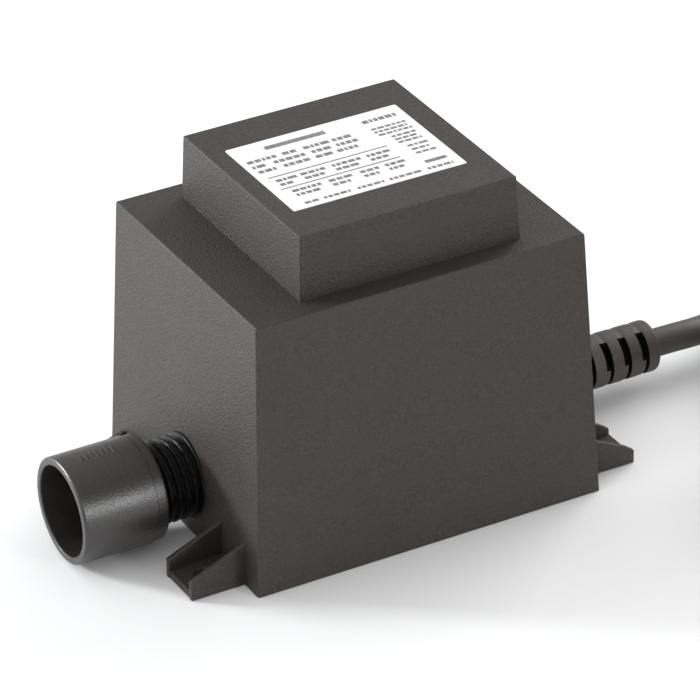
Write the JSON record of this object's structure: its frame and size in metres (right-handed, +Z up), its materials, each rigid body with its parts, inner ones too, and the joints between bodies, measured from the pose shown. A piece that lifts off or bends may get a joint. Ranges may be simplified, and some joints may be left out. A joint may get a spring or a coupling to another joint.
{
  "type": "low voltage landscape transformer",
  "caption": "Potted transformer in a drafted box with a raised block, mounting ears, a screw collar outlet at one end and a mains cord with plug at the other.",
  "frame": {"origin": "centre of the box's base, on the surface that it rests on", "axes": "+X from the outlet towards the mains cord, +Y to the rear, +Z up"},
  "size_m": [0.3183, 0.1364, 0.0936],
  "materials": {
    "housing": "charcoal plastic with a fine moulded grain",
    "resin": "poured dark resin, smooth",
    "lamination_steel": "stacked silicon steel sheets",
    "bobbin_plastic": "natural glass filled nylon",
    "winding": "enamelled copper wire in layers",
    "tape": "yellow polyester film",
    "cutout_sleeve": "white sleeve",
    "tinned_metal": "tinned",
    "lead_red": "PVC insulated wire",
    "lead_blue": "PVC insulated wire",
    "joint_red": "insulated butt joint",
    "core_brown": "insulated core",
    "outlet_black": "smooth black plastic",
    "insert_black": "black plastic",
    "contact_brass": "turned brass",
    "collar_black": "smooth satin dark plastic",
    "gasket_rubber": "black rubber",
    "relief_rubber": "moulded flexible plastic, satin",
    "cord_rubber": "round rubber sheathed cable",
    "tie_black": "nylon tie",
    "plug_black": "moulded plug, fine grain",
    "pin_nickel": "nickel plated brass",
    "label": "white film with grey bars and rules"
  },
  "bodies": {
    "box": {"housing": "housing", "potting_compound": "resin", "e_laminations": "lamination_steel", "i_laminations": "lamination_steel", "bobbin": "bobbin_plastic", "primary_winding": "winding", "secondary_winding": "winding", "primary_tape": "tape", "secondary_tape": "tape", "thermal_cutout": "cutout_sleeve", "bobbin_terminals": "tinned_metal", "primary_leads": "lead_red", "secondary_leads": "lead_blue", "crimp_joints": "joint_red", "mains_cores": "core_brown", "outlet_spigot": "outlet_black", "socket_insert": "insert_black", "contact_sleeves": "contact_brass", "strain_relief": "relief_rubber", "mains_cord": "cord_rubber", "cord_coil": "cord_rubber", "cord_tail": "cord_rubber", "coil_tie": "tie_black", "mains_plug": "plug_black", "plug_pins": "pin_nickel", "rating_label": "label"},
    "gasket_body": {"collar_gasket": "gasket_rubber"},
    "collar_body": {"collar": "collar_black"}
  },
  "joints": [
    {"name": "collar_travel", "type": "slide", "parent": "box", "child": "gasket_body", "axis": [1, 0, 0], "range_m": [-0.00961, 0.00961]},
    {"name": "collar_turn", "type": "hinge", "parent": "gasket_body", "child": "collar_body", "pos_m": [-0.0733, -0.001, 0.0151], "axis": [1, 0, 0], "range_deg": [-1440, 1440]}
  ],
  "couplings": [
    {"joint": "collar_travel", "follows": "collar_turn", "m_per_rad": 0.00038197}
  ]
}
